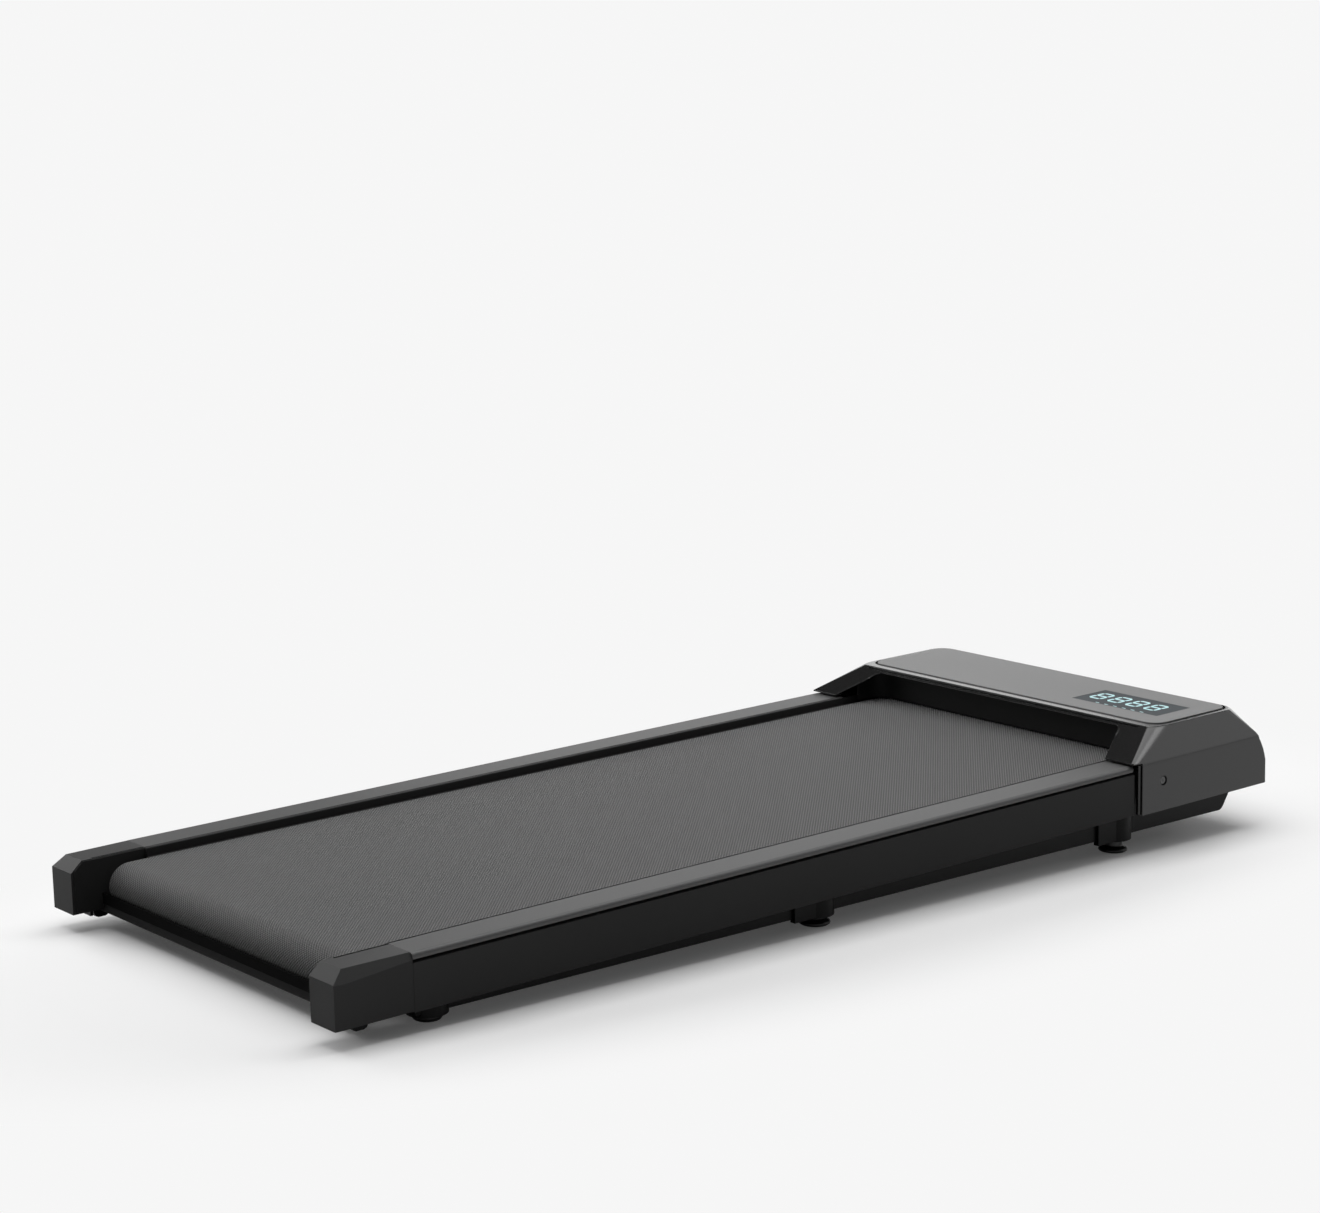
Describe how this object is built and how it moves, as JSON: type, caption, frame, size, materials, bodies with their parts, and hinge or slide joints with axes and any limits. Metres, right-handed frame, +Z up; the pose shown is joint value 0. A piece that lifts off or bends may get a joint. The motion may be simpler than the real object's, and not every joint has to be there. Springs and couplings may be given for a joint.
{
  "type": "treadmill",
  "caption": "Flat under-desk walking treadmill: a low inclined belt deck between satin foot rails, with a faceted motor hood, display window and round rubber feet.",
  "frame": {"origin": "bottom centre of the whole machine's bounding box, on the floor", "axes": "+Y is the walking direction, from the rear caps to the motor hood; +X is the walker's right; +Z is up"},
  "size_m": [0.508, 1.233, 0.1339],
  "materials": {
    "frame_steel": "satin black powder coat",
    "motor_can": "gloss black paint on the motor can",
    "foot_rail": "satin dark grey moulded plastic with a fine grain",
    "side_trim": "fine-textured black moulded plastic",
    "walking_belt": "matte dark grey belt cover with a fine dotted weave",
    "black_rubber": "plain black rubber",
    "deck_wood": "waxed fibreboard",
    "bright_steel": "turned and ground steel",
    "cast_aluminium": "cast aluminium",
    "hood_plastic": "satin dark grey moulded plastic",
    "top_panel": "satin silver grey panel",
    "black_plastic": "plain black moulded plastic",
    "display_acrylic": "smoked acrylic over a lit display",
    "circuit_board": "green circuit board"
  },
  "bodies": {
    "chassis": {"side_beam_right": "frame_steel", "side_beam_left": "frame_steel", "cross_member_rear": "frame_steel", "deck_cross_rear": "frame_steel", "deck_cushion_rear": "black_rubber", "deck_cross_middle": "frame_steel", "deck_cushion_middle": "black_rubber", "deck_cross_front": "frame_steel", "deck_cushion_front": "black_rubber", "motor_pan": "frame_steel", "foot_rail_right": "foot_rail", "foot_rail_left": "foot_rail", "side_panel_right": "side_trim", "side_panel_left": "side_trim", "rear_cap_right": "side_trim", "rear_cap_left": "side_trim", "deck_board": "deck_wood", "running_belt": "walking_belt", "rear_roller_shaft": "bright_steel", "rear_bearing_right": "bright_steel", "rear_bearing_left": "bright_steel", "tension_bolt_right": "bright_steel", "tension_bolt_left": "bright_steel", "front_roller_shaft": "bright_steel", "front_bearing_right": "bright_steel", "front_bearing_left": "bright_steel", "motor_housing": "motor_can", "motor_cradle": "frame_steel", "drive_belt": "black_rubber", "hood_shell": "hood_plastic", "hood_top_panel": "top_panel", "hood_inner_wall": "black_plastic", "display_window": "display_acrylic", "display_board": "circuit_board", "controller_board": "circuit_board", "controller_heatsink": "cast_aluminium", "power_inlet": "black_plastic", "foot_bracket_rear_right": "frame_steel", "foot_bracket_rear_left": "frame_steel", "foot_bracket_middle_right": "frame_steel", "foot_bracket_middle_left": "frame_steel", "foot_bracket_front_right": "frame_steel", "foot_bracket_front_left": "frame_steel", "wheel_fork_right": "frame_steel", "wheel_fork_left": "frame_steel", "foot_rear_right": "black_rubber", "foot_rear_left": "black_rubber", "foot_middle_right": "black_rubber", "foot_middle_left": "black_rubber", "foot_front_right": "black_rubber", "foot_front_left": "black_rubber"},
    "rear_roller": {"rear_roller": "bright_steel"},
    "front_roller": {"front_roller": "bright_steel", "front_roller_pulley": "cast_aluminium"},
    "motor_rotor": {"motor_shaft": "bright_steel", "motor_pulley": "cast_aluminium"},
    "rocker": {"rocker_switch": "black_plastic"},
    "breaker": {"breaker_button": "black_plastic"},
    "wheel_right": {"transport_wheel_right": "black_rubber"},
    "wheel_left": {"transport_wheel_left": "black_rubber"}
  },
  "joints": [
    {"name": "front_roller_spin", "type": "hinge", "parent": "chassis", "child": "front_roller", "pos_m": [0, 0.4816, 0.07131], "axis": [1, 0, 0], "continuous": true},
    {"name": "rear_roller_spin", "type": "hinge", "parent": "chassis", "child": "rear_roller", "pos_m": [0, -0.55974, 0.04368], "axis": [1, 0, 0], "continuous": true},
    {"name": "motor_spin", "type": "hinge", "parent": "chassis", "child": "motor_rotor", "pos_m": [0, 0.53674, 0.06657], "axis": [1, 0, 0], "continuous": true},
    {"name": "rocker_tilt", "type": "hinge", "parent": "chassis", "child": "rocker", "pos_m": [0.112, 0.61043, 0.06403], "axis": [1, 0, 0], "range_deg": [0, 24]},
    {"name": "breaker_pop", "type": "slide", "parent": "chassis", "child": "breaker", "axis": [0, 0.9996, 0.0265], "range_m": [0, 0.003]},
    {"name": "wheel_right_spin", "type": "hinge", "parent": "chassis", "child": "wheel_right", "pos_m": [0.15, 0.5958, 0.02752], "axis": [1, 0, 0], "continuous": true},
    {"name": "wheel_left_spin", "type": "hinge", "parent": "chassis", "child": "wheel_left", "pos_m": [-0.15, 0.5958, 0.02752], "axis": [1, 0, 0], "continuous": true}
  ],
  "couplings": [
    {"joint": "rear_roller_spin", "follows": "front_roller_spin", "ratio": 1},
    {"joint": "motor_spin", "follows": "front_roller_spin", "ratio": 2.7273}
  ]
}
